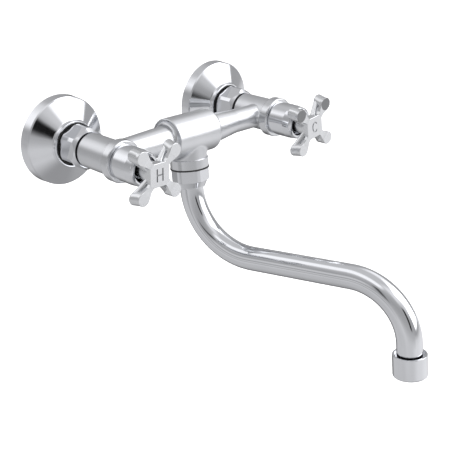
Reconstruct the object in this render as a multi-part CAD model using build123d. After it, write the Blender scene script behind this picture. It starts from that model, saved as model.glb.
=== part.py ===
from build123d import *
from math import cos, radians, sin, sqrt, tan
import os

# Wall mounted kitchen mixer: two valves joined by a telescopic bridge, and a swivel spout below it.
# Sizes are in millimetres. The wall is the plane Y = 0, the mixer stands out along -Y, and +Z is up.
# X = 0 is midway between the inlets, hot at -X and cold at +X, with both inlet axes at Z = 0.

# Fits
thread_gap = 0.05
slip_gap = 0.06
seat_gap = 0.02
face_gap = 0.10
free_gap = 0.30

# Wall side, per inlet
centre_distance = 150.0
socket_bore = 18.63
socket_depth = 13.0
waterway = 14.0
connector_diameter = 26.0
connector_step = 1.3
shoulder_gap = 0.6
washer_thickness = 1.6
washer_edge = 0.5

# Wall flange
flange_diameter = 64.0
flange_rim = 8.4
flange_height = 19.0
flange_to_nut = 2.0
flange_seal = 2.3
flange_ring_depth = 1.7
flange_lip_land = 2.4
flange_lip_round = 0.4
flange_cove = 2.0
flange_cove_inside = 1.0
flange_wall = 1.1
flange_edge = 0.8
rim_taper = 0.4

# Union nut and tail
nut_wall = 1.8
nut_length = 15.6
nut_corner = 1.35
nut_back_edge = 0.5
nut_chamfer = 2.7
nut_face_step = 0.7
nut_turn = 25.0
tail_collar = 2.8
nut_lip = 3.2
tail_step = 1.6
tail_thread_step = 0.5
tail_screw = 6.2
nut_to_barrel = 1.4
tail_end_gap = 0.2

# Valve barrel
barrel_diameter = 24.4
barrel_length = 35.5
ring_diameter = 29.2
ring_length = 6.6
ring_cove = 1.4
cove_round = 1.2
ring_edge = 1.0
seat_wall = 2.6
seat_port = 12.0
chamber_diameter = 20.9

# Bridge between the valves
bridge_stand = 56.4
bridge_diameter = 16.8
bridge_root_diameter = 21.6
bridge_cove = 2.4
bridge_wall = 1.8
bridge_end = 9.5
spigot_diameter = 26.8
spigot_wall = 3.6
spigot_inset = 0.7
spigot_room = 5.0
spigot_groove_place = 14.3
spigot_groove_width = 2.2
spigot_groove_diameter = 23.4
sleeve_diameter = 30.4
sleeve_reach = 22.6
sleeve_inner_end = 17.0
sleeve_edge = 0.8
sleeve_round = 2.5
shoulder_step = 2.6
shoulder_land = 0.5
shoulder_round = 1.5
sleeve_bore = 18.7
sleeve_blind = 9.0
mouth_diameter = 28.6
mouth_depth = 1.4
arm_root_diameter = 23.0
arm_root_drop = 1.0
arm_taper = 26.0
arm_diameter = 17.4
arm_bore = 12.0
arm_fillet = 1.0

# Outlet below the bridge, leaning forward
outlet_offset = 3.6
outlet_lean = 7.0
neck_diameter = 26.6
neck_fillet = 3.0
collar_drop = 16.6
collar_length = 7.0
collar_diameter = 27.8
collar_edge = 0.5
outlet_thread = 22.4
outlet_thread_length = 7.9
outlet_socket = 15.0
outlet_port = 11.0
gasket_thickness = 0.9
gasket_diameter = 28.4

# Spout nut
spout_nut_flats = 25.0
spout_nut_corner = 1.0
spout_nut_edge = 0.3
spout_nut_hex = 8.8
spout_nut_cone = 4.4
spout_nut_nose = 0.7
cone_edge = 0.1
nose_round = 0.3
nose_diameter = 20.4
spout_nut_turn = -12.0

# Spout tail and tube
spout_diameter = 17.2
spout_wall = 1.0
tail_top = 16.0
tail_flange_diameter = 19.6
tail_flange = 2.0
tail_plug = 5.0
first_ring_drop = 3.6
tail_ring_spacing = 4.6
slip_ring_diameter = 20.4
slip_ring_thickness = 0.5
spout_swing = 12.0
spout_drop = 4.8
first_bend = 49.7
spout_straight = 77.0
spout_fall = 2.0
second_bend = 41.1
spout_end_drop = 7.1

# Aerator
aerator_diameter = 23.0
aerator_length = 15.8
aerator_thread = 20.4
aerator_recess = 2.8
aerator_bush = 6.7
aerator_edge = 1.4
aerator_mouth = 18.6
aerator_seal = 1.6
insert_rim = 1.6
insert_depth = 2.2
mesh_hole = 1.3
mesh_pitch = 2.3
mesh_rows = 3

# Ceramic headwork, the same on both sides
seal_length = 2.6
seal_width = 2.5
disc_thickness = 2.4
disc_diameter = 15.4
port_inner = 2.0
port_outer = 6.4
port_angle = 76.0
cartridge_diameter = 19.2
cartridge_cavity = 15.6
cartridge_start = 1.0
cartridge_thread = 10.0
cartridge_shoulder = 5.5
shoulder_diameter = 22.6
wrench_flats = 17.0
wrench_corner = 1.0
wrench_edge = 0.3
wrench_chamfer = 0.8
wrench_length = 5.0
guide_diameter = 12.6
guide_length = 6.0
window_width = 9.0
window_length = 4.4
foot_length = 3.0
key_width = 3.0
key_depth = 0.9
spindle_diameter = 8.0
groove_depth = 1.0
groove_width = 1.6
lower_ring_drop = 1.5
ring_spacing = 4.0
clip_gap = 0.15
clip_opening = 3.4
clip_diameter = 10.4
clip_thickness = 0.8

# Bonnet
bonnet_gap = 0.2
bonnet_diameter = 24.6
bonnet_nose = 23.2
bonnet_length = 21.3
bonnet_taper = 7.0
bonnet_waist = 4.0
bonnet_round = 2.0
bonnet_opening = 18.0
bonnet_front_wall = 2.3
bonnet_skirt = 5.6
bonnet_wall = 1.7

# Cross handle
handle_stand = 4.8
handle_depth = 9.3
handle_root_depth = 5.4
handle_neck = 14.0
neck_hidden = 3.4
hub_width = 16.0
arm_reach = 18.9
lobe_diameter = 9.4
lobe_back = 9.0
lobe_back_reach = 20.5
lobe_round = 1.2
flare_angle = 21.0
plate_thickness = 2.4
plate_waist = 4.4
plate_edge = 0.4
rib_thickness = 4.0
rib_width = 8.2
rib_round = 1.8
web_width = 2.6
dish_reach = 12.4
dish_depth = 0.2
dish_radius = 24.0
spindle_short = 4.8
spindle_end_gap = 0.3
letter_height = 8.6
letter_width = 5.8
letter_stroke = 1.1
letter_depth = 0.5
hot_handle_turn = -0.5
cold_handle_turn = 8.5
grub_diameter = 3.0
grub_slot = 0.6

# Places worked out from the sizes
hot_x = -centre_distance / 2
cold_x = centre_distance / 2
union_thread = connector_diameter - 2 * connector_step
nut_flats = union_thread + 2 * nut_wall
tail_neck = union_thread - 2 * tail_step
barrel_thread = tail_neck - 2 * tail_thread_step
flange_lip = connector_diameter + 2 * (flange_seal + flange_wall)
nut_start = flange_height + flange_to_nut
nut_end = nut_start + nut_length
collar_end = nut_end - nut_lip
washer_end = collar_end - tail_collar
connector_length = washer_end - washer_thickness
connector_shoulder = nut_start - shoulder_gap
barrel_start = nut_end + nut_to_barrel
barrel_end = barrel_start + barrel_length
ring_start = barrel_end - ring_length
seat_start = barrel_start + tail_screw + tail_end_gap
seat_end = seat_start + seat_wall
seal_end = seat_end + seal_length
fixed_end = seal_end + disc_thickness
moving_start = fixed_end + face_gap
moving_end = moving_start + disc_thickness
foot_start = moving_end + face_gap
foot_end = foot_start + foot_length
shoulder_end = barrel_end + cartridge_shoulder
wrench_end = shoulder_end + wrench_length
guide_end = wrench_end + guide_length
clip_start = guide_end + clip_gap
clip_end = clip_start + clip_thickness
bonnet_start = barrel_end + bonnet_gap
bonnet_end = bonnet_start + bonnet_length
handle_back = bonnet_end + handle_stand
handle_front = handle_back + handle_depth
handle_root = handle_front - handle_root_depth
handle_neck_back = bonnet_end - neck_hidden
plate_back = handle_front - plate_thickness
spindle_reach = handle_front - spindle_short
collar_bottom = collar_drop + collar_length
gasket_bottom = collar_bottom + gasket_thickness
thread_bottom = collar_bottom + outlet_thread_length
flange_top = thread_bottom + free_gap
flange_bottom = flange_top + tail_flange
slip_top = flange_bottom + face_gap
slip_bottom = slip_top + slip_ring_thickness
nut_seat = slip_bottom + face_gap
hex_bottom = gasket_bottom + spout_nut_hex
cone_bottom = hex_bottom + spout_nut_cone
nose_bottom = cone_bottom + spout_nut_nose
bend_start = flange_bottom + spout_drop
fall = radians(spout_fall)
straight_out = first_bend * (1 - sin(fall))
straight_down = bend_start + first_bend * cos(fall)
second_out = straight_out + spout_straight * cos(fall)
second_down = straight_down + spout_straight * sin(fall)
spout_reach = second_out + second_bend * (1 - sin(fall))
rim_down = second_down + second_bend * cos(fall) + spout_end_drop
bush_top = aerator_recess
bush_bottom = bush_top + aerator_bush
seal_bottom = bush_bottom + aerator_seal
insert_bottom = seal_bottom + insert_rim


on_end = (Align.CENTER, Align.CENTER, Align.MIN)
from_axis = (Align.MIN, Align.CENTER, Align.MIN)


def turned(*corners):
    """Ring or rod turned about Z from its half section: radius, height and perhaps a rounding."""
    section = make_face(Polyline([(c[0], c[1]) for c in corners], close=True))
    for c in corners:
        if len(c) == 3:
            corner = section.vertices().sort_by_distance((c[0], c[1], 0))[0]
            section = fillet(corner, c[2])
    return revolve(Plane.XZ * section, Axis.Z)


def rod(diameter, bottom, top):
    """Plain round rod on the Z axis between two heights."""
    return Pos(0, 0, bottom) * Cylinder(diameter / 2, top - bottom, align=on_end)


def tube(outer, inner, bottom, top):
    """Plain round tube on the Z axis between two heights."""
    return rod(outer, bottom, top) - rod(inner, bottom - 1, top + 1)


def ring(inner, outer, height, gap):
    """Round rubber ring that fills the width between two diameters, less a gap."""
    centre = (inner + outer) / 4
    return Pos(0, 0, height) * Torus(centre, (outer - inner) / 4 - gap)


def hexagon(flats, corner, bottom, top, turn, edge, chamfer, face):
    """Hexagonal bar from round stock: its corners stay round, with an edge and a chamfer at its ends."""
    prism = Pos(0, 0, bottom) * extrude(RegularPolygon(flats / sqrt(3), 6, rotation=turn), top - bottom)
    outer = flats / 2 + corner
    return prism & turned((0, bottom), (outer - edge, bottom), (outer, bottom + edge),
                          (outer, top - chamfer), (face / 2, top), (0, top))


def on_valve(shape, x):
    """Stand a piece on a valve axis: its Z runs out from the wall, its X stays X and its Y is up."""
    return Plane(origin=(x, 0, 0), x_dir=(1, 0, 0), z_dir=(0, -1, 0)).location * shape


def on_bridge(shape):
    """Lay a piece on the bridge axis: its Z runs from hot to cold."""
    return Plane(origin=(0, -bridge_stand, 0), x_dir=(0, 0, 1), z_dir=(1, 0, 0)).location * shape


lean = radians(outlet_lean)
swing = radians(spout_swing)
outlet_origin = Vector(-outlet_offset, -bridge_stand, 0)
outlet_axis = Vector(0, -sin(lean), -cos(lean))
outlet_front = Vector(0, -cos(lean), sin(lean))
spout_out = outlet_front * cos(swing) + Vector(1, 0, 0) * sin(swing)


def on_outlet(shape):
    """Hang a piece on the leaning outlet axis: its Z runs down and its Y to the front."""
    return Plane(origin=outlet_origin, x_dir=(1, 0, 0), z_dir=outlet_axis).location * shape


def on_aerator(shape):
    """Hang a piece on the spout's end: its Z runs down from the aerator's upper rim."""
    rim = outlet_origin + spout_out * spout_reach + outlet_axis * rim_down
    return Plane(origin=rim, x_dir=spout_out, z_dir=outlet_axis).location * shape


# Pieces on the inlets

def wall_flange():
    """Bell-shaped cover plate: a low rim, a straight flared side and a lip round the connector."""
    rim = flange_diameter / 2
    foot = rim - rim_taper - flange_edge
    lip = flange_lip / 2
    lip_in = lip - flange_wall
    crown = flange_height - flange_lip_land
    slope = (crown - flange_rim) / (foot - lip)
    under = flange_wall * sqrt(1 + slope ** 2)
    return turned((rim, 0), (rim - rim_taper, flange_rim - flange_edge), (foot, flange_rim),
                  (lip, crown, flange_cove), (lip, flange_height, flange_lip_round),
                  (lip_in, flange_height), (lip_in, crown + slope * flange_wall - under, flange_cove_inside),
                  (rim - flange_wall, flange_rim - slope * (rim - flange_wall - foot) - under),
                  (rim - flange_wall, 0))


def flange_ring():
    """Rubber ring in the flange's lip that grips the connector."""
    return ring(connector_diameter, flange_lip - 2 * flange_wall,
                flange_height - flange_ring_depth, seat_gap)


def inlet_connector():
    """Straight connector: a female half inch socket at the wall and a male union thread."""
    body = turned((waterway / 2, 0), (connector_diameter / 2, 0, 0.5),
                  (connector_diameter / 2, connector_shoulder, 0.4), (union_thread / 2, connector_shoulder),
                  (union_thread / 2, connector_length, 0.4), (waterway / 2, connector_length))
    return body - rod(socket_bore, -1, socket_depth)


def union_washer():
    """Flat sealing washer between connector and tail."""
    return tube(union_thread - 2 * washer_edge, waterway + 2 * washer_edge, connector_length, washer_end)


def union_tail():
    """Collared tail that the nut draws up, screwed into the barrel."""
    return turned((waterway / 2, washer_end), (union_thread / 2 - washer_edge, washer_end),
                  (union_thread / 2 - washer_edge, collar_end), (tail_neck / 2, collar_end),
                  (tail_neck / 2, barrel_start), (barrel_thread / 2, barrel_start),
                  (barrel_thread / 2, barrel_start + tail_screw), (waterway / 2, barrel_start + tail_screw))


def union_nut():
    """Hexagonal union nut with a lip at its front that pulls on the tail's collar."""
    blank = hexagon(nut_flats, nut_corner, nut_start, nut_end, nut_turn, nut_back_edge,
                    nut_chamfer, nut_flats - 2 * nut_face_step)
    blank -= rod(union_thread + 2 * thread_gap, nut_start - 1, collar_end)
    return blank - rod(tail_neck + 2 * thread_gap, nut_start, nut_end + 1)


# Valve barrels, bridge and outlet

def barrel_outside():
    """Round barrel that flares into the polished ring at its front."""
    r = barrel_diameter / 2
    big = ring_diameter / 2
    return turned((0, barrel_start), (r, barrel_start, 0.4), (r, ring_start - ring_cove, cove_round),
                  (big, ring_start, 0.6), (big, barrel_end, ring_edge), (0, barrel_end))


def barrel_inside():
    """Tail thread, seat port and headwork chamber, as the space to cut away."""
    space = rod(barrel_thread + 2 * thread_gap, barrel_start - 1, seat_start)
    space += rod(seat_port, seat_start - 1, seat_end + 1)
    return space + rod(chamber_diameter, seat_end, barrel_end + 1)


def hot_body():
    """Hot valve barrel with the bridge port in its side."""
    body = on_valve(barrel_outside() - barrel_inside(), hot_x)
    return body - on_bridge(rod(bridge_diameter - 2 * bridge_wall, hot_x, hot_x + barrel_diameter))


def bridge_tube():
    """Telescopic arm: saddled on the hot barrel, widening to a coved spigot that slides in the sleeve."""
    face = spigot_inset - sleeve_reach
    spigot = spigot_diameter / 2
    root = bridge_root_diameter / 2
    hollow = spigot - spigot_wall
    groove = spigot_groove_diameter / 2
    near = -spigot_groove_place - spigot_groove_width / 2
    far = -spigot_groove_place + spigot_groove_width / 2
    arm = turned((bridge_diameter / 2 - bridge_wall, hot_x), (bridge_diameter / 2, hot_x),
                 (root, face, bridge_cove), (spigot, face), (spigot, near), (groove, near),
                 (groove, far), (spigot, far), (spigot, -bridge_end, 0.4),
                 (hollow, -bridge_end), (hollow, face + bridge_wall), (root - bridge_wall, face))
    saddle = rod(barrel_diameter + 2 * seat_gap, barrel_start - 5, ring_start - ring_cove)
    return on_bridge(arm) - on_valve(saddle + barrel_outside(), hot_x)


def sleeve_outside():
    """Bridge sleeve with rounded ends, on the Z axis."""
    r = sleeve_diameter / 2
    return turned((0, -sleeve_reach), (r, -sleeve_reach, sleeve_edge), (r, sleeve_inner_end, sleeve_round),
                  (arm_root_diameter / 2 + shoulder_land, sleeve_inner_end + shoulder_step, shoulder_round),
                  (0, sleeve_inner_end + shoulder_step))


def cold_arm():
    """Tapering arm from the sleeve to the cold barrel, deeper below than above at its root."""
    root = Pos(-arm_root_drop, 0, sleeve_inner_end - 2) * Circle(arm_root_diameter / 2)
    waist = Pos(0, 0, sleeve_inner_end + arm_taper) * Circle(arm_diameter / 2)
    taper = loft([root, waist])
    return taper + rod(arm_diameter, sleeve_inner_end + arm_taper, cold_x)


def cold_body():
    """One casting: cold barrel, arm, bridge sleeve and the leaning outlet."""
    barrel = on_valve(barrel_outside(), cold_x)
    bridge = on_bridge(sleeve_outside() + cold_arm())
    neck = on_outlet(rod(neck_diameter, 0, collar_drop + 0.5))
    body = bridge + neck
    neck_seam = body.edges().filter_by(GeomType.BSPLINE).sort_by(SortBy.LENGTH)[-1]
    body = fillet(neck_seam, neck_fillet) + barrel
    root = cold_x - barrel_diameter / 2 - 1
    arm_seam = [e for e in body.edges().filter_by(GeomType.BSPLINE) if root < e.center().X < cold_x - 2]
    body = fillet(arm_seam, arm_fillet)
    collar = turned((0, collar_drop), (collar_diameter / 2, collar_drop, collar_edge),
                    (collar_diameter / 2, collar_bottom, 0.3), (outlet_thread / 2, collar_bottom),
                    (outlet_thread / 2, thread_bottom, 0.4), (0, thread_bottom))
    body += on_outlet(collar)
    body -= on_valve(barrel_inside(), cold_x)
    bore = rod(spigot_diameter + 2 * slip_gap, -sleeve_reach - 1, spigot_room - bridge_end)
    bore += rod(mouth_diameter, -sleeve_reach - 1, -sleeve_reach + mouth_depth)
    bore += rod(sleeve_bore, -sleeve_reach, sleeve_blind)
    bore += rod(arm_bore, sleeve_blind - 1, cold_x)
    body -= on_bridge(bore)
    body -= on_outlet(rod(outlet_port, 0, tail_top))
    return body - on_outlet(rod(outlet_socket, tail_top - 1, thread_bottom + 1))


def bridge_o_ring():
    """Rubber ring in the spigot's groove that seals the sliding arm."""
    bore = spigot_diameter + 2 * slip_gap
    return on_bridge(ring(spigot_groove_diameter, bore, -spigot_groove_place, seat_gap))


def outlet_gasket():
    """Thin dark gasket between the outlet collar and the spout nut."""
    return on_outlet(tube(gasket_diameter, outlet_thread + 2 * thread_gap, collar_bottom, gasket_bottom))


def spout_nut():
    """Hexagonal nut with a cone and a nose that the spout turns in."""
    outer = spout_nut_flats + 2 * spout_nut_corner
    blank = hexagon(spout_nut_flats, spout_nut_corner, gasket_bottom, hex_bottom, spout_nut_turn,
                    spout_nut_edge, spout_nut_edge, outer - 2 * spout_nut_edge)
    nose = nose_diameter / 2
    blank += turned((0, hex_bottom), (spout_nut_flats / 2 - cone_edge, hex_bottom), (nose, cone_bottom),
                    (nose, nose_bottom, nose_round), (0, nose_bottom))
    blank -= rod(outlet_thread + 2 * thread_gap, gasket_bottom - 1, thread_bottom + 0.2)
    blank -= rod(slip_ring_diameter + 2 * thread_gap, gasket_bottom, nut_seat)
    return on_outlet(blank - rod(spout_diameter + 2 * slip_gap, gasket_bottom, nose_bottom + 1))


def spout_slip_ring():
    """Plain bearing ring that the spout's flange turns on."""
    return on_outlet(tube(slip_ring_diameter, spout_diameter + 2 * slip_gap, slip_top, slip_bottom))


# Spout

ring_heights = (tail_top + first_ring_drop, tail_top + first_ring_drop + tail_ring_spacing)


def spout_tail():
    """Flanged spigot of the spout, grooved for two rubber rings and plugged into the tube."""
    bore = spout_diameter - 2 * spout_wall - 4.0
    spigot = outlet_socket - 2 * slip_gap
    plug = spout_diameter - 2 * spout_wall - 2 * seat_gap
    tail = turned((bore / 2, tail_top + 1), (spigot / 2, tail_top + 1, 0.5), (spigot / 2, flange_top),
                  (tail_flange_diameter / 2, flange_top), (tail_flange_diameter / 2, flange_bottom),
                  (plug / 2, flange_bottom), (plug / 2, flange_bottom + tail_plug),
                  (bore / 2, flange_bottom + tail_plug))
    for height in ring_heights:
        tail -= tube(spigot + 1, spigot - 2 * groove_depth, height - groove_width / 2,
                     height + groove_width / 2)
    return on_outlet(tail)


def spout_o_rings():
    """Two rubber rings on the spigot."""
    spigot = outlet_socket - 2 * slip_gap
    return [on_outlet(ring(spigot - 2 * groove_depth, spigot, h, seat_gap)) for h in ring_heights]


def spout_tube():
    """Swan-necked spout tube: down, out along a nearly level run, and down again to the aerator."""
    path = Line((0, -flange_bottom), (0, -bend_start))
    path += JernArc((0, -bend_start), (0, -1), first_bend, 90 - spout_fall)
    path += Line((straight_out, -straight_down), (second_out, -second_down))
    path += JernArc((second_out, -second_down), (cos(fall), -sin(fall)), second_bend, spout_fall - 90)
    path += Line((spout_reach, -rim_down + spout_end_drop), (spout_reach, -rim_down - bush_bottom))
    plane = Plane(origin=outlet_origin, x_dir=spout_out, z_dir=spout_out.cross(outlet_axis * -1))
    route = plane.location * path
    mouth = Plane(origin=outlet_origin + outlet_axis * flange_bottom, x_dir=spout_out, z_dir=outlet_axis)
    section = mouth.location * (Circle(spout_diameter / 2) - Circle(spout_diameter / 2 - spout_wall))
    return sweep(section, route)


def aerator_bush_ring():
    """Threaded bush brazed on the spout's end."""
    return on_aerator(tube(aerator_thread - 2 * thread_gap, spout_diameter + 2 * seat_gap,
                           bush_top, bush_bottom))


def aerator_housing():
    """Polished aerator housing, open at the top round the tube and lipped at the bottom."""
    r = aerator_diameter / 2
    return on_aerator(turned((aerator_thread / 2, 0), (r, 0, 0.4), (r, aerator_length, aerator_edge),
                             (aerator_mouth / 2, aerator_length), (aerator_mouth / 2, insert_bottom),
                             (aerator_thread / 2, insert_bottom)))


def aerator_washer():
    """Rubber washer between the tube's end and the insert."""
    return on_aerator(tube(aerator_thread - 4 * thread_gap, spout_diameter - 2 * spout_wall - 1,
                           bush_bottom, seal_bottom))


def aerator_insert():
    """Flow insert with a grid of small jets."""
    body = rod(aerator_thread - 4 * thread_gap, seal_bottom, insert_bottom)
    body += rod(aerator_mouth - 0.4, insert_bottom, insert_bottom + insert_depth)
    jets = []
    for row in range(-mesh_rows, mesh_rows + 1):
        for step in range(-mesh_rows, mesh_rows + 1):
            if abs(row + step) <= mesh_rows:
                x = mesh_pitch * (row + step / 2)
                y = mesh_pitch * step * sqrt(3) / 2
                jets.append(Pos(x, y, seal_bottom - 1) * rod(mesh_hole, 0, insert_rim + insert_depth + 2))
    return on_aerator(body - jets)


# Ceramic headwork

def port_pair(bottom, top, turn):
    """Two opposite sector ports of a ceramic disc."""
    half = radians(port_angle / 2)
    far = port_outer / cos(half) + 1
    wedge = Polyline((0, 0), (far * cos(half), -far * sin(half)), (far * cos(half), far * sin(half)),
                     close=True)
    sector = make_face(wedge) & (Circle(port_outer) - Circle(port_inner))
    pair = sector + Rot(0, 0, 180) * sector
    return Pos(0, 0, bottom) * Rot(0, 0, turn) * extrude(pair, top - bottom)


def seat_seal():
    """Rubber collar that seals the fixed disc to the seat."""
    outer = cartridge_cavity - 2 * thread_gap
    return tube(outer, outer - 2 * seal_width, seat_end, seal_end)


def fixed_disc():
    """Ceramic disc that stays still in the headwork."""
    disc = rod(cartridge_cavity - 2 * thread_gap, seal_end, fixed_end)
    return disc - port_pair(seal_end - 1, fixed_end + 1, 0)


def moving_disc():
    """Ceramic disc that the spindle turns, with its ports across the fixed ones when shut."""
    disc = rod(disc_diameter, moving_start, moving_end) - port_pair(moving_start - 1, moving_end + 1, 90)
    slot = Box(disc_diameter + 1, key_width + 2 * slip_gap, 2 * key_depth)
    return disc - Pos(0, 0, moving_end) * slot


def spindle(turn):
    """Spindle: a keyed foot in the moving disc, two ring grooves and a shank into the handle."""
    foot = rod(disc_diameter, foot_start, foot_end) - port_pair(foot_start - 1, foot_end - 1, 90)
    key = Pos(0, 0, foot_start - key_depth / 2) * Box(disc_diameter - 1, key_width, key_depth)
    key &= rod(disc_diameter - 0.4, foot_start - key_depth, foot_start)
    body = foot + key + rod(spindle_diameter, foot_end - 1, spindle_reach)
    for height in spindle_rings():
        body -= tube(spindle_diameter + 1, spindle_diameter - 2 * groove_depth,
                     height - groove_width / 2, height + groove_width / 2)
    body -= tube(spindle_diameter + 1, spindle_diameter - groove_depth, clip_start, clip_end)
    return Rot(0, 0, turn) * body


def spindle_rings():
    """Heights of the two rubber rings on the spindle."""
    return (barrel_end - lower_ring_drop, barrel_end - lower_ring_drop + ring_spacing)


def spindle_o_rings():
    """Two rubber rings in the spindle's grooves."""
    inner = spindle_diameter - 2 * groove_depth
    return [ring(inner, spindle_diameter, h, seat_gap) for h in spindle_rings()]


def spindle_clip():
    """Open spring clip that keeps the spindle in the headwork."""
    clip = tube(clip_diameter, spindle_diameter - groove_depth + 2 * seat_gap, clip_start + seat_gap,
                clip_end - seat_gap)
    return clip - Pos(0, clip_diameter / 2, clip_start) * Box(clip_opening, clip_diameter / 2 + 3, 3)


def cartridge(window_turn):
    """Brass headwork body: windowed barrel, thread, bonnet thread, wrench hexagon and spindle guide."""
    start = seat_end + cartridge_start
    thread_start = barrel_end - cartridge_thread
    thread = chamber_diameter / 2 - thread_gap
    body = turned((0, start), (cartridge_diameter / 2, start, 0.4), (cartridge_diameter / 2, thread_start),
                  (thread, thread_start), (thread, barrel_end), (shoulder_diameter / 2, barrel_end),
                  (shoulder_diameter / 2, shoulder_end, 0.4), (0, shoulder_end))
    body += hexagon(wrench_flats, wrench_corner, shoulder_end, wrench_end, 0, wrench_edge,
                    wrench_chamfer, wrench_flats)
    body += rod(guide_diameter, wrench_end, guide_end)
    body -= rod(cartridge_cavity, start - 1, foot_end + free_gap)
    body -= rod(spindle_diameter + 2 * slip_gap, start, guide_end + 1)
    window = Pos(0, 0, moving_end) * Box(chamber_diameter + 2, window_width, window_length)
    return body - Rot(0, 0, window_turn) * window


def bonnet():
    """Polished cover over the headwork, open at the front round the handle's neck."""
    r = bonnet_diameter / 2
    nose = bonnet_nose / 2
    skirt = shoulder_diameter / 2 + thread_gap
    inner = r - bonnet_wall
    hollow = nose - bonnet_wall
    front = bonnet_end - bonnet_front_wall
    taper = bonnet_end - bonnet_taper
    return turned((skirt, bonnet_start), (r, bonnet_start, 0.3), (r, taper, bonnet_waist),
                  (nose, bonnet_end, bonnet_round), (bonnet_opening / 2, bonnet_end, 0.4),
                  (bonnet_opening / 2, front), (hollow, front), (hollow, taper),
                  (inner, bonnet_start + bonnet_skirt), (skirt, bonnet_start + bonnet_skirt))


# Cross handle

def arm_outline():
    """Front outline of one arm along +X: a narrow waist that flares into the round pad."""
    flare = radians(flare_angle)
    reach = arm_reach - lobe_diameter / 2 * sin(flare)
    half = lobe_diameter / 2 * cos(flare)
    waist = reach - (half - plate_waist / 2) / tan(flare)
    side = Polyline((0, -plate_waist / 2), (waist, -plate_waist / 2), (reach, -half), (reach, half),
                    (waist, plate_waist / 2), (0, plate_waist / 2), close=True)
    return make_face(side) + Pos(arm_reach, 0) * Circle(lobe_diameter / 2)


def front_plate():
    """Front plate of the handle: square hub face and four arms, rounded at the rim and dished."""
    outline = Rectangle(hub_width, hub_width)
    for k in range(4):
        outline += Rot(0, 0, 45 + 90 * k) * arm_outline()
    plate = Pos(0, 0, plate_back) * extrude(outline, plate_thickness)
    plate = fillet(plate.edges().group_by(Axis.Z)[-1], plate_edge)
    dish = Rot(90, 0, 0) * Cylinder(dish_radius, 2 * lobe_diameter)
    for k in range(4):
        plate -= Rot(0, 0, 45 + 90 * k) * Pos(dish_reach, 0, handle_front + dish_radius - dish_depth) * dish
    return plate


def handle_web():
    """Thin web along an arm, between the front plate and the back rib."""
    section = Polyline((0, handle_root), (arm_reach, handle_back), (arm_reach, plate_back),
                       (0, plate_back), close=True)
    return extrude(Plane.XZ * make_face(section), web_width / 2, both=True)


def handle_rib():
    """Round-sided back rib of an arm, which slopes towards the wall from the hub to the lobe."""
    root = Vector(0, 0, handle_root + rib_thickness / 2)
    tip = Vector(arm_reach, 0, handle_back + rib_thickness / 2)
    start = Plane(origin=root, x_dir=(0, 1, 0), z_dir=tip - root)
    section = start * RectangleRounded(rib_width, rib_thickness, rib_round)
    return extrude(section, (tip - root).length)


def handle_arm():
    """Behind the front plate, one arm has a web, a back rib that slopes to the wall, and the lobe."""
    web = handle_web()
    rib = handle_rib()
    back = Pos(lobe_back_reach, 0, handle_back) * Circle(lobe_back / 2)
    front = Pos(arm_reach, 0, plate_back) * Circle(lobe_diameter / 2)
    lobe = loft([back, front])
    lobe = fillet(lobe.edges().sort_by(Axis.Z)[0], lobe_round)
    return web + rib + lobe


def letter_h():
    """Two uprights and a bar."""
    upright = Rectangle(letter_stroke, letter_height)
    bar = Rectangle(letter_width, letter_stroke)
    x = (letter_width - letter_stroke) / 2
    return Pos(-x, 0) * upright + Pos(x, 0) * upright + bar


def letter_c():
    """Part of an oval ring, open to the right."""
    outer = Ellipse(letter_width / 2, letter_height / 2)
    hollow = Ellipse(letter_width / 2 - letter_stroke, letter_height / 2 - letter_stroke)
    gap = Pos(letter_width / 2, 0) * Rectangle(letter_width * 0.6, letter_height * 0.5)
    return outer - hollow - gap


def handle(letter, turn):
    """Cross handle: neck, hub and four arms, with an engraved letter on its face."""
    body = turned((0, handle_neck_back), (handle_neck / 2, handle_neck_back, 0.4),
                  (handle_neck / 2, plate_back), (0, plate_back))
    body += Pos(0, 0, handle_root) * Box(hub_width, hub_width, plate_back - handle_root, align=on_end)
    body += front_plate()
    for k in range(4):
        body += Rot(0, 0, 45 + 90 * k) * handle_arm()
    body -= rod(spindle_diameter + 2 * seat_gap, handle_neck_back - 1, spindle_reach + spindle_end_gap)
    body -= grub_hole()
    body -= Pos(0, 0, handle_front - letter_depth) * extrude(letter, letter_depth + 1)
    return Rot(0, 0, turn) * body


def grub_place():
    """Height of the grub screw, midway along the neck in front of the bonnet."""
    return (bonnet_end + handle_root) / 2


def grub_hole():
    """Cross hole in the neck, pointing down, for the grub screw."""
    return Pos(0, 0, grub_place()) * Rot(90, 0, 0) * rod(grub_diameter, 0, handle_neck)


def grub_screw(turn):
    """Slotted grub screw that locks the handle to the spindle."""
    start = spindle_diameter / 2 + seat_gap
    screw = rod(grub_diameter - 2 * thread_gap, start, handle_neck / 2 - 0.3)
    screw -= Pos(0, 0, handle_neck / 2) * Box(grub_slot, grub_diameter + 1, 1.6)
    return Rot(0, 0, turn) * (Pos(0, 0, grub_place()) * Rot(90, 0, 0) * screw)


parts = {}
sides = (("hot", hot_x, hot_handle_turn, letter_h()), ("cold", cold_x, cold_handle_turn, letter_c()))
for side, x, turn, letter in sides:
    pieces = {
        "wall_flange": wall_flange(),
        "flange_ring": flange_ring(),
        "inlet_connector": inlet_connector(),
        "union_washer": union_washer(),
        "union_tail": union_tail(),
        "union_nut": union_nut(),
        "seat_seal": seat_seal(),
        "fixed_disc": fixed_disc(),
        "moving_disc": Rot(0, 0, turn) * moving_disc(),
        "spindle": spindle(turn),
        "spindle_o_rings": spindle_o_rings(),
        "spindle_clip": spindle_clip(),
        "headwork": cartridge(0),
        "bonnet": bonnet(),
        "handle": handle(letter, turn),
        "handle_screw": grub_screw(turn),
    }
    for name, piece in pieces.items():
        solids = piece if isinstance(piece, list) else [piece]
        parts[side + "_" + name] = [on_valve(one, x) for one in solids]

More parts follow.
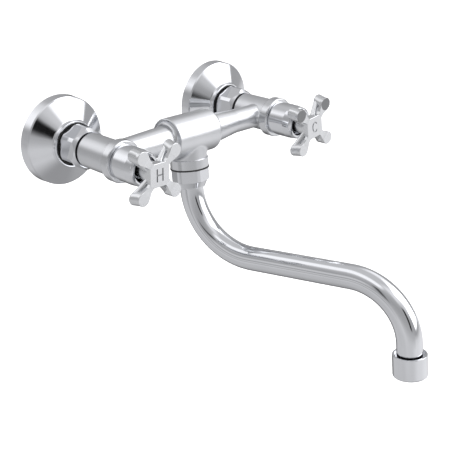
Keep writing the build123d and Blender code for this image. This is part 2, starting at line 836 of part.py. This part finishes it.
parts["hot_body"] = [hot_body()]
parts["cold_body"] = [cold_body()]
parts["bridge_tube"] = [bridge_tube()]
parts["bridge_o_ring"] = [bridge_o_ring()]
parts["outlet_gasket"] = [outlet_gasket()]
parts["spout_nut"] = [spout_nut()]
parts["spout_slip_ring"] = [spout_slip_ring()]
parts["spout_tail"] = [spout_tail()]
parts["spout_o_rings"] = spout_o_rings()
parts["spout_tube"] = [spout_tube()]
parts["aerator_bush"] = [aerator_bush_ring()]
parts["aerator_housing"] = [aerator_housing()]
parts["aerator_washer"] = [aerator_washer()]
parts["aerator_insert"] = [aerator_insert()]

os.makedirs("parts", exist_ok=True)
for name, solids in parts.items():
    whole = solids[0] if len(solids) == 1 else Compound(children=list(solids))
    export_step(whole, "parts/" + name + ".step")
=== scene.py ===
from math import cos, radians, sin, tan

import bpy
from bpy.props import FloatProperty, FloatVectorProperty, PointerProperty
from mathutils import Matrix, Vector

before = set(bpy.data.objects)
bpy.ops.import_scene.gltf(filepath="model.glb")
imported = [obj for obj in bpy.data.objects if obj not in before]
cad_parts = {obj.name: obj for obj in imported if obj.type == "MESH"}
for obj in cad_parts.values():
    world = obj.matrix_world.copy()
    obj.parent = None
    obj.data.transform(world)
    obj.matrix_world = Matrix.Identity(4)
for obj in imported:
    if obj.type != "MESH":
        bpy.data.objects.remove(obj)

bl_info = {
    "name": "Wall Mixer Tap",
    "version": (1, 0, 0),
    "blender": (4, 5, 0),
    "location": "View3D > Sidebar > Mixer Tap",
    "description": "Finishes and studio of a two-handled wall mixer tap",
    "category": "Object",
}

# Places on the tap, in metres and degrees. X runs from the hot to the cold side, Y to the wall, Z up.

VALVE_X = 0.075                                                  # valve axes, either side of the middle
OUTLET_LEAN = radians(7)                                         # the outlet leans forward
OUTLET_ORIGIN = Vector((-0.0036, -0.0564, 0.0))                  # where the outlet's axis leaves the bridge
OUTLET_AXIS = Vector((0.0, -sin(OUTLET_LEAN), -cos(OUTLET_LEAN)))
COLLAR_SPAN = (0.0167, 0.0240)                                   # polished collar, down the outlet's axis
COLLAR_REACH = 0.03                                              # nothing of it lies further out in X
RING_SPAN = (-0.0740, -0.0668)                                   # polished end rings of the barrels, in Y
RING_REACH = 0.055                                               # nothing of them lies further in, in X
LETTER_SPAN = (-0.1089, -0.1080)                                 # floors of the engraved letters, in Y
LETTER_HALF_WIDTH = 0.0045
LETTER_HALF_HEIGHT = 0.0052
# The cold handle's two upper pads get a painted dark reflection in their colour; where it lies:
PAD_FACE = -0.1089                                               # Y just behind the faces of the pads
PAD_REACH = 0.0189                                               # handle's axis to the middle of a pad
PAD_RADIUS = 0.0047
PAD_TURNS = (53.5, 143.5)                                        # the two upper arms of the cold handle
HOT_LETTER_GREY = 0.8                                            # how grey the floor of the hot letter is made
COLD_LETTER_GREY = 0.45
GREY_SHARE = 0.34                                                # share of the plating's own colour in the grey letter floors and the painted dark pad reflection

# Camera, fitted to the photograph: place in metres, yaw, pitch and roll in radians

CAMERA_PLACE = (-0.43554, -0.52668, 0.19401)
CAMERA_TURN = (0.725319, 0.389620, -0.016178)
CAMERA_SHIFT = (0.117, -0.0051)
CAMERA_SENSOR = 36.0
CAMERA_CLIP = (0.01, 50.0)

# Floor and ceiling lamp, in metres

FLOOR_REACH = 8.0
LAMP_PLACE = Vector((0.0, -0.3, 2.2))
LAMP_TARGET = Vector((0.0, -0.3, -0.5))
LAMP_SIZE = 3.0

# Surroundings that the plating mirrors. The tent is grey all round, with a brightness for each elevation.
# The panels lie over it in this order: azimuth (0 = front, + towards the cold side), elevation, half
# width and half height in degrees, softness of the edge, and brightness.

TENT = ((-60, 0.36), (-42, 0.42), (-33, 0.66), (-25, 0.78), (-17, 0.85), (-9, 0.75), (-2, 0.42),
        (20, 0.40), (34, 0.46), (48, 0.60), (80, 0.62))
TINT = 1.015                            # how much bluer than grey it is
BACKDROP = (0.97, 0.97, 0.97)           # what the camera sees behind the tap
PANELS = (
    (-12, 52, 14, 16, 0.15, 0.90),      # white, over the front
    (80, 48, 28, 14, 0.2, 1.1),         # white, high at the cold side
    (44, 33, 28, 29, 0.08, 2.2),        # the main one, large and bright, front and cold side
    (-77, 17, 4, 12, 0.05, 0.10),       # dark strip at the hot side
    (4, 33, 12, 9, 0.2, 0.74),          # pale, beside the main one
    (-62, -42, 36, 20, 0.4, 0.6),       # pale floor, front and hot side
    (-45, -7, 45, 8, 0.3, 0.5),         # dim band, front and hot side
    (58, -28, 24, 15, 0.4, 0.95),       # bright floor, front and cold side
    (-17, 16, 5.5, 14, 0.05, 0.01),     # black flag in front, for the dark wedge on the flanges
    (-130, -48, 40, 20, 0.4, 0.58),     # pale floor, behind and hot side
    (-106, 60, 30, 12, 0.12, 1.15),     # white, high at the hot side, for the light along the spout
    (-102, 11, 14, 6, 0.1, 0.7),        # pale strip at the hot side
    (-102, -15, 14, 3, 0.1, 0.35),      # dark line at the hot side, for the line along the spout
    (-22, -38, 5, 8, 0.25, 0.75),       # pale spot on the floor in front
    (-160, 31, 22, 12, 0.15, 1.15),     # white, behind and hot side, for the light along the barrels
    (-146, -10, 30, 14, 0.3, 0.48),     # dim band, behind and hot side
    (175, -38, 55, 12, 0.3, 0.62),      # pale floor behind
    (160, -11, 32, 13, 0.2, 0.12),      # dark horizon behind, for the dark edges
    (140, -40, 24, 20, 0.3, 0.15),      # dark floor, behind and cold side
)


# Colours, gloss and light that a user would change

class TapFinish(bpy.types.PropertyGroup):
    """Colours and gloss of the tap's finishes."""
    chrome: FloatVectorProperty(name="Polished chrome", description="Colour of the bright plating",
                                subtype="COLOR", default=(0.80, 0.81, 0.835), min=0, max=1)
    chrome_roughness: FloatProperty(name="Polish", description="Roughness of the bright plating",
                                    default=0.07, min=0, max=1, subtype="FACTOR")
    satin: FloatVectorProperty(name="Satin chrome", description="Colour of the satin bodies",
                               subtype="COLOR", default=(0.74, 0.75, 0.77), min=0, max=1)
    satin_roughness: FloatProperty(name="Satin gloss", description="Roughness of the satin bodies",
                                   default=0.30, min=0, max=1, subtype="FACTOR")
    ring_roughness: FloatProperty(name="Collar polish", description="Roughness of the collar and end rings",
                                  default=0.10, min=0, max=1, subtype="FACTOR")
    handle: FloatVectorProperty(name="Handle chrome", description="Colour of the cast handles",
                                subtype="COLOR", default=(0.80, 0.81, 0.825), min=0, max=1)
    handle_roughness: FloatProperty(name="Handle gloss", description="Roughness of the cast handles",
                                    default=0.26, min=0, max=1, subtype="FACTOR")
    # painted dark reflection: how grey the cold handle's two upper pads are made
    pad_painted_reflection: FloatProperty(name="Pad grey", description="Greyness of the two upper pads of the cold handle",
                            default=1.0, min=0, max=1, subtype="FACTOR")
    brass: FloatVectorProperty(name="Brass", description="Colour of the turned brass inside",
                               subtype="COLOR", default=(0.80, 0.60, 0.28), min=0, max=1)


class TapStudio(bpy.types.PropertyGroup):
    """Camera, floor and light."""
    lens: FloatProperty(name="Lens", description="Focal length of the camera", default=74.25, unit="CAMERA")
    floor_height: FloatProperty(name="Floor", description="Height of the floor below the inlets",
                                default=-0.42, unit="LENGTH")
    sky: FloatProperty(name="Sky", description="Brightness of the surroundings", default=1.0, min=0)
    key: FloatProperty(name="Key light", description="Power of the large soft light over the floor",
                       default=60.0, min=0)


# Shader maths

class Value:
    """A number or vector in a shader tree, so that masks can be written as expressions."""

    def __init__(self, shader, socket):
        self.shader = shader
        self.socket = socket

    def maths(self, operation, *values):
        """One Math node over the given values."""
        return self.shader.node("ShaderNodeMath", {"operation": operation}, values)[0]

    def __add__(self, other):
        return self.maths("ADD", self, other)

    def __radd__(self, other):
        return self.maths("ADD", other, self)

    def __sub__(self, other):
        return self.maths("SUBTRACT", self, other)

    def __rsub__(self, other):
        return self.maths("SUBTRACT", other, self)

    def __mul__(self, other):
        return self.maths("MULTIPLY", self, other)

    def __rmul__(self, other):
        return self.maths("MULTIPLY", other, self)

    def __truediv__(self, other):
        return self.maths("DIVIDE", self, other)

    def __rtruediv__(self, other):
        return self.maths("DIVIDE", other, self)

    def __abs__(self):
        return self.maths("ABSOLUTE", self)

    def above(self, edge, soft):
        """0 below the edge and 1 above it, over a soft width."""
        return self.shader.node("ShaderNodeMapRange", {"interpolation_type": "SMOOTHSTEP"},
                                {"Value": self, "From Min": edge - soft, "From Max": edge + soft})[0]

    def below(self, edge, soft):
        """1 below the edge and 0 above it, over a soft width."""
        return 1 - self.above(edge, soft)

    def between(self, low, high, soft):
        """1 between two edges and 0 outside them, soft at both."""
        return self.above(low, soft) * self.below(high, soft)


class Shader:
    """The node tree of one material or of the world."""

    def __init__(self, tree):
        self.tree = tree
        tree.nodes.clear()

    def node(self, kind, settings=None, sockets=()):
        """Make a node, set it up, then fill its sockets by place or by name with numbers or links."""
        node = self.tree.nodes.new(kind)
        for key, value in (settings or {}).items():
            if key == "stops":
                self.fill_ramp(node.color_ramp, value)
            else:
                setattr(node, key, value)
        pairs = sockets.items() if isinstance(sockets, dict) else enumerate(sockets)
        for key, value in pairs:
            if isinstance(value, Value):
                self.tree.links.new(value.socket, node.inputs[key])
            else:
                node.inputs[key].default_value = value
        return [Value(self, out) for out in node.outputs]

    def fill_ramp(self, ramp, stops):
        """Grey stops of a colour ramp, each a place and a brightness."""
        while len(ramp.elements) < len(stops):
            ramp.elements.new(0.5)
        for element, (place, bright) in zip(ramp.elements, stops):
            element.position = place
            element.color = (bright, bright, bright, 1)

    def place(self):
        """Object coordinates."""
        return self.node("ShaderNodeTexCoord")[3]

    def parts(self, vector):
        """X, Y and Z of a vector."""
        return self.node("ShaderNodeSeparateXYZ", None, (vector,))

    def noise(self, vector, scale, detail=2.0, stretch=(1, 1, 1)):
        """Soft noise about 0.5, with its grain stretched along an axis."""
        mapped = self.node("ShaderNodeMapping", None, {"Vector": vector, "Scale": stretch})[0]
        return self.node("ShaderNodeTexNoise", None, {"Vector": mapped, "Scale": scale, "Detail": detail})[0]

    def tint(self, factor, low, high):
        """Mix of two colours by a factor."""
        colours = [(*colour, 1) if isinstance(colour, tuple) else colour for colour in (low, high)]
        sockets = {"Factor": factor, 6: colours[0], 7: colours[1]}
        return self.node("ShaderNodeMix", {"data_type": "RGBA"}, sockets)[2]

    def dot(self, vector, direction):
        """How far a vector goes along a fixed direction."""
        return self.node("ShaderNodeVectorMath", {"operation": "DOT_PRODUCT"}, (vector, direction))[1]

    def distance(self, vector, point):
        """How far a vector ends from a fixed point."""
        return self.node("ShaderNodeVectorMath", {"operation": "DISTANCE"}, (vector, point))[1]

    def bump(self, height, distance, strength=1.0):
        """Normal of a small relief."""
        return self.node("ShaderNodeBump", None,
                         {"Height": height, "Distance": distance, "Strength": strength})[0]

    def surface(self, **sockets):
        """Principled surface on the output, with socket names written with underscores."""
        names = {key.replace("_", " "): value for key, value in sockets.items()}
        closure = self.node("ShaderNodeBsdfPrincipled", None, names)[0]
        self.node("ShaderNodeOutputMaterial", None, (closure,))


def material(name):
    """A new material and the shader that fills it."""
    made = bpy.data.materials.new(name)
    made.use_nodes = True
    return made, Shader(made.node_tree)


def shade(colour, share):
    """A colour made darker."""
    return tuple(part * share for part in colour)


# Finishes

def polished_chrome(finish):
    """Mirror plating: a little haze and the faint waves left by polishing."""
    made, s = material("polished chrome")
    place = s.place()
    haze = s.noise(place, scale=60.0, detail=3.0)
    waves = s.noise(place, scale=55.0, detail=1.0)
    base = tuple(finish.chrome)
    s.surface(Base_Color=s.tint(haze.above(0.5, 0.25), base, shade(base, 0.97)), Metallic=1.0,
              Roughness=haze * 0.05 + (finish.chrome_roughness - 0.025),
              Normal=s.bump(waves, distance=0.00004))
    return made


def satin_chrome(finish):
    """Satin plating with fine turning lines round the barrels and the bridge. The collar over the gasket
    and the end rings of the barrels are polished."""
    made, s = material("satin chrome")
    place = s.place()
    x, y, z = s.parts(place)
    clouds = s.noise(place, scale=45.0, detail=3.0)
    grain = s.noise(place, scale=1500.0)
    lines = s.noise(place, scale=90.0, stretch=(2.0, 40.0, 2.0))
    down = s.dot(place, OUTLET_AXIS) - OUTLET_AXIS.dot(OUTLET_ORIGIN)
    collar = down.between(*COLLAR_SPAN, soft=0.0001) * abs(x).below(COLLAR_REACH, 0.001)
    rings = y.between(*RING_SPAN, soft=0.0002) * abs(x).above(RING_REACH, 0.001)
    bright = collar + rings
    base = tuple(finish.satin)
    satin = clouds * 0.08 + lines * 0.08 + (finish.satin_roughness - 0.08)
    s.surface(Base_Color=s.tint(clouds.above(0.5, 0.3), shade(base, 0.95), base), Metallic=1.0,
              Roughness=satin * (1 - bright) + bright * finish.ring_roughness,
              Normal=s.bump(grain + lines * 0.8, distance=0.000015, strength=0.5))
    return made


def handle_chrome(finish):
    """Soft plating of the cast handles, with grey in the letter floors and a painted dark reflection on the
    two upper pads of the cold handle."""
    made, s = material("handle chrome")
    place = s.place()
    x, y, z = s.parts(place)
    clouds = s.noise(place, scale=80.0)
    grain = s.noise(place, scale=1200.0)
    base = tuple(finish.handle)
    plating = s.tint(clouds.above(0.5, 0.3), shade(base, 0.96), base)
    # grey in the letter floors, plus the painted dark reflection on the cold handle's two upper pads
    grey = letters(x, y, z) + pads(s, place, y) * finish.pad_painted_reflection
    s.surface(Base_Color=s.tint(grey, plating, shade(base, GREY_SHARE)), Metallic=1.0,
              Roughness=clouds * 0.08 + grey * 0.15 + (finish.handle_roughness - 0.04),
              Normal=s.bump(grain, distance=0.00002, strength=0.4))
    return made


def letters(x, y, z):
    """Mask of the floors of both letters, fainter on the cold side."""
    across = abs(abs(x) - VALVE_X).below(LETTER_HALF_WIDTH, 0.0003)
    upright = abs(z).below(LETTER_HALF_HEIGHT, 0.0003)
    depth = HOT_LETTER_GREY - x.above(0.0, 0.001) * (HOT_LETTER_GREY - COLD_LETTER_GREY)
    return y.between(*LETTER_SPAN, soft=0.00004) * across * upright * depth


def pads(s, place, y):
    """Mask of the painted dark reflection on the faces of the cold handle's two upper pads: round each pad's
    centre, and in front.
    """
    near = [s.distance(place, pad_centre(radians(turn))).below(PAD_RADIUS, 0.0003) for turn in PAD_TURNS]
    return sum(near) * y.below(PAD_FACE, 0.00004)


def pad_centre(angle):
    """Centre of a pad of the cold handle, by the angle of its arm."""
    return Vector((VALVE_X + PAD_REACH * cos(angle), PAD_FACE, PAD_REACH * sin(angle)))


def brass(finish):
    """Turned brass with fine tool marks."""
    made, s = material("turned brass")
    marks = s.noise(s.place(), scale=900.0)
    base = tuple(finish.brass)
    s.surface(Base_Color=s.tint(marks, base, shade(base, 0.85)), Metallic=1.0,
              Roughness=marks * 0.15 + 0.22, Normal=s.bump(marks, distance=0.00002))
    return made


def plain(name, dark, light, roughness, metallic=0.0):
    """Rubber, ceramic, plastic, plain steel, or the near-black brass that paints shade in the gaps, with a
    little mottling.
    """
    made, s = material(name)
    speck = s.noise(s.place(), scale=300.0, detail=3.0)
    s.surface(Base_Color=s.tint(speck, dark, light), Metallic=metallic,
              Roughness=speck * 0.1 + (roughness - 0.05), Normal=s.bump(speck, distance=0.00001))
    return made


class TAP_OT_finishes(bpy.types.Operator):
    """Give every piece of the tap its finish"""
    bl_idname = "tap.finishes"
    bl_label = "Finishes"

    def execute(self, context):
        finish = context.scene.tap_finish
        finishes = {
            "polished_chrome": polished_chrome(finish),
            "satin_chrome": satin_chrome(finish),
            "handle_chrome": handle_chrome(finish),
            "brass": brass(finish),
            "rubber": plain("black rubber", (0.012, 0.012, 0.012), (0.03, 0.03, 0.03), 0.6),
            "ceramic": plain("lapped ceramic", (0.86, 0.85, 0.80), (0.92, 0.91, 0.88), 0.3),
            "steel": plain("spring steel", (0.5, 0.5, 0.51), (0.62, 0.62, 0.63), 0.35, metallic=1.0),
            "bearing_plastic": plain("bearing plastic", (0.86, 0.86, 0.84), (0.92, 0.92, 0.9), 0.4),
            "insert_plastic": plain("insert plastic", (0.72, 0.73, 0.74), (0.82, 0.83, 0.84), 0.4),
        }
        # Near-black finish for the union tails, which show only in the gap behind the union nuts: painted
        # shade in that gap
        gap_shade = plain("painted gap shade", (0.02, 0.019, 0.018), (0.05, 0.048, 0.045), 0.5, metallic=0.6)
        for name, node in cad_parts.items():
            for slot in node.material_slots:
                slot.material = gap_shade if name.endswith("union_tail") else finishes[slot.material.name]
        return {"FINISHED"}


# Studio

def lay_floor(scene, height):
    """Plain white floor, which the plating doesn't mirror."""
    mesh = bpy.data.meshes.new("floor")
    corners = [(x * FLOOR_REACH, y * FLOOR_REACH, height) for x, y in ((-1, -1), (1, -1), (1, 1), (-1, 1))]
    mesh.from_pydata(corners, [], [(0, 1, 2, 3)])
    made, s = material("white floor")
    s.surface(Base_Color=(0.93, 0.93, 0.93, 1), Roughness=0.9, Emission_Color=(1, 1, 1, 1),
              Emission_Strength=0.25)
    mesh.materials.append(made)
    floor = bpy.data.objects.new("floor", mesh)
    scene.collection.objects.link(floor)
    floor.visible_glossy = False


def panel(s, direction, azimuth, elevation, wide, tall, soft):
    """Mask of a soft-edged rectangle in a direction: the side and height of the direction, each over
    its depth, are compared with the rectangle's half sizes."""
    a, e = radians(azimuth), radians(elevation)
    ahead = Vector((sin(a) * cos(e), -cos(a) * cos(e), sin(e)))
    aside = Vector((cos(a), sin(a), 0))
    depth = s.dot(direction, ahead)
    side = abs(s.dot(direction, aside) / depth)
    rise = abs(s.dot(direction, aside.cross(ahead)) / depth)
    inside = side.below(tan(radians(wide)), soft) * rise.below(tan(radians(tall)), soft)
    return inside * depth.above(0.02, 0.01)


def hang_tent(scene, sky):
    """Grey tent with its panels. The camera sees the plain backdrop in its place."""
    world = bpy.data.worlds.new("studio")
    world.use_nodes = True
    scene.world = world
    s = Shader(world.node_tree)
    direction = s.node("ShaderNodeTexCoord")[0]
    height = s.parts(direction)[2]
    stops = [((sin(radians(elevation)) + 1) / 2, bright) for elevation, bright in TENT]
    level = s.node("ShaderNodeValToRGB", {"stops": stops}, (height * 0.5 + 0.5,))[0]
    for *shape, bright in PANELS:
        level = level + panel(s, direction, *shape) * (bright - level)
    grey = s.node("ShaderNodeCombineXYZ", None, (level, level, level * TINT))[0]
    seen = s.node("ShaderNodeLightPath")[0]
    shown = s.tint(seen, grey, BACKDROP)
    background = s.node("ShaderNodeBackground", None, {"Color": shown, "Strength": sky})
    s.node("ShaderNodeOutputWorld", None, (background[0],))


def hang_lamp(scene, power):
    """Large soft lamp over the floor, seen neither by the camera nor in the plating."""
    light = bpy.data.lights.new("ceiling", "AREA")
    light.shape = "RECTANGLE"
    light.size = LAMP_SIZE
    light.size_y = LAMP_SIZE
    light.energy = power
    lamp = bpy.data.objects.new("ceiling", light)
    aim = (LAMP_TARGET - LAMP_PLACE).to_track_quat("-Z", "Y")
    lamp.matrix_world = Matrix.Translation(LAMP_PLACE) @ aim.to_matrix().to_4x4()
    lamp.visible_glossy = False
    lamp.visible_camera = False
    scene.collection.objects.link(lamp)


def set_camera(scene, focal_length):
    """Camera turned by yaw and pitch from the wall's direction, then rolled about its own axis."""
    lens = bpy.data.cameras.new("camera")
    lens.lens = focal_length
    lens.sensor_width = CAMERA_SENSOR
    lens.shift_x, lens.shift_y = CAMERA_SHIFT
    lens.clip_start, lens.clip_end = CAMERA_CLIP
    yaw, pitch, roll = CAMERA_TURN
    forward = Vector((sin(yaw) * cos(pitch), cos(yaw) * cos(pitch), -sin(pitch)))
    right = Vector((cos(yaw), -sin(yaw), 0))
    up = right.cross(forward)
    x_axis = right * cos(roll) + up * sin(roll)
    y_axis = up * cos(roll) - right * sin(roll)
    turn = Matrix((x_axis, y_axis, -forward)).transposed().to_4x4()
    camera = bpy.data.objects.new("camera", lens)
    camera.matrix_world = Matrix.Translation(CAMERA_PLACE) @ turn
    scene.collection.objects.link(camera)
    scene.camera = camera


class TAP_OT_studio(bpy.types.Operator):
    """Build the floor, the light and the camera"""
    bl_idname = "tap.studio"
    bl_label = "Studio"

    def execute(self, context):
        studio = context.scene.tap_studio
        lay_floor(context.scene, studio.floor_height)
        hang_tent(context.scene, studio.sky)
        hang_lamp(context.scene, studio.key)
        set_camera(context.scene, studio.lens)
        context.scene.view_settings.view_transform = "Standard"
        return {"FINISHED"}


class TAP_PT_panel(bpy.types.Panel):
    """Panel that lists the tap's operators and settings"""
    bl_idname = "TAP_PT_panel"
    bl_label = "Mixer Tap"
    bl_space_type = "VIEW_3D"
    bl_region_type = "UI"
    bl_category = "Mixer Tap"

    def draw(self, context):
        for step in STEPS:
            self.layout.operator(step.bl_idname)
        for group in (context.scene.tap_finish, context.scene.tap_studio):
            for name in group.__annotations__:
                self.layout.prop(group, name)


STEPS = (TAP_OT_finishes, TAP_OT_studio)
CLASSES = (TapFinish, TapStudio, *STEPS, TAP_PT_panel)


def register():
    """Register the classes and hang the settings on the scene."""
    for each in CLASSES:
        bpy.utils.register_class(each)
    bpy.types.Scene.tap_finish = PointerProperty(type=TapFinish)
    bpy.types.Scene.tap_studio = PointerProperty(type=TapStudio)


def unregister():
    """Undo what register did."""
    del bpy.types.Scene.tap_studio
    del bpy.types.Scene.tap_finish
    for each in reversed(CLASSES):
        bpy.utils.unregister_class(each)


def main():
    """Dress the tap and build the studio."""
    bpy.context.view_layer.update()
    register()
    bpy.ops.tap.finishes()
    bpy.ops.tap.studio()


if __name__ == "__main__":
    main()
